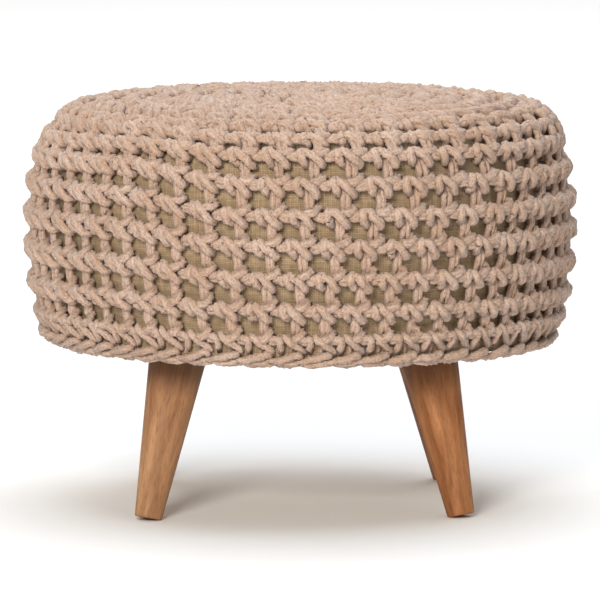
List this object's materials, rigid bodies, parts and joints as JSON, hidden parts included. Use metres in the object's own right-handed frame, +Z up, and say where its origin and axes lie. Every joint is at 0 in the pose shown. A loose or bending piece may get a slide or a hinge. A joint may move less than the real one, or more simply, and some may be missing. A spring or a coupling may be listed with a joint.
{
  "type": "round footstool",
  "caption": "Round footstool: a firm linen-covered pad in an open crocheted cord cover, on splayed tapered wooden legs.",
  "frame": {"origin": "on the floor under the middle of the seat", "axes": "+Z up along the seat's axis, -Y towards the pictured front, +X to the right as seen from there"},
  "size_m": [0.5, 0.5, 0.3694],
  "materials": {
    "linen": "plain-weave olive beige linen",
    "cotton_cord": "matt twisted cotton cord, pinkish beige",
    "wood": "satin brown wood with fine grain"
  },
  "bodies": {
    "root": {"seat_pad": "linen", "crochet_cover": "cotton_cord", "leg_front_left": "wood", "leg_front_right": "wood", "leg_back_left": "wood", "leg_back_right": "wood"}
  },
  "joints": []
}
